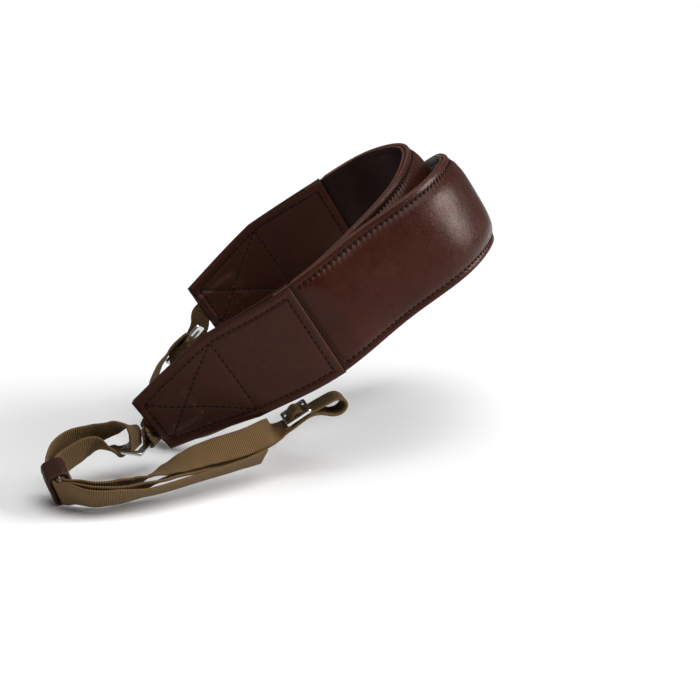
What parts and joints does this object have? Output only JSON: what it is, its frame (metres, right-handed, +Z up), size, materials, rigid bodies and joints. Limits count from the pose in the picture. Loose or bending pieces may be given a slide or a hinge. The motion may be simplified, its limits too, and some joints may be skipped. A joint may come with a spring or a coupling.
{
  "type": "camera neck strap",
  "caption": "Padded leather shoulder strap, wound up on edge, with tapered end tabs, rings, keepers, sliders and narrow webbing ends.",
  "frame": {"origin": "on the inside of the pad's front run, where the strap bears on what carries it", "axes": "+Z up, +Y away from the viewer of the picture, +X to the right"},
  "size_m": [0.1733, 0.1857, 0.1204],
  "materials": {
    "pad_leather": "smooth waxed dark brown leather",
    "tab_leather": "smooth waxed dark brown leather, stitched",
    "lining_leather": "matt brown lining leather",
    "keeper_leather": "brown leather with raw edges",
    "webbing": "ribbed olive brown woven webbing",
    "polished_metal": "polished"
  },
  "bodies": {
    "root": {"shoulder_pad": "pad_leather", "pad_lining": "lining_leather", "near_tab_front": "tab_leather", "near_tab_back": "tab_leather", "far_tab_front": "tab_leather", "far_tab_back": "tab_leather", "near_webbing": "webbing", "near_keeper": "keeper_leather", "near_ring": "polished_metal", "near_ring_loop": "webbing", "near_slider": "polished_metal", "far_webbing": "webbing", "far_keeper": "keeper_leather", "far_ring": "polished_metal", "far_ring_loop": "webbing", "far_slider": "polished_metal"}
  },
  "joints": []
}
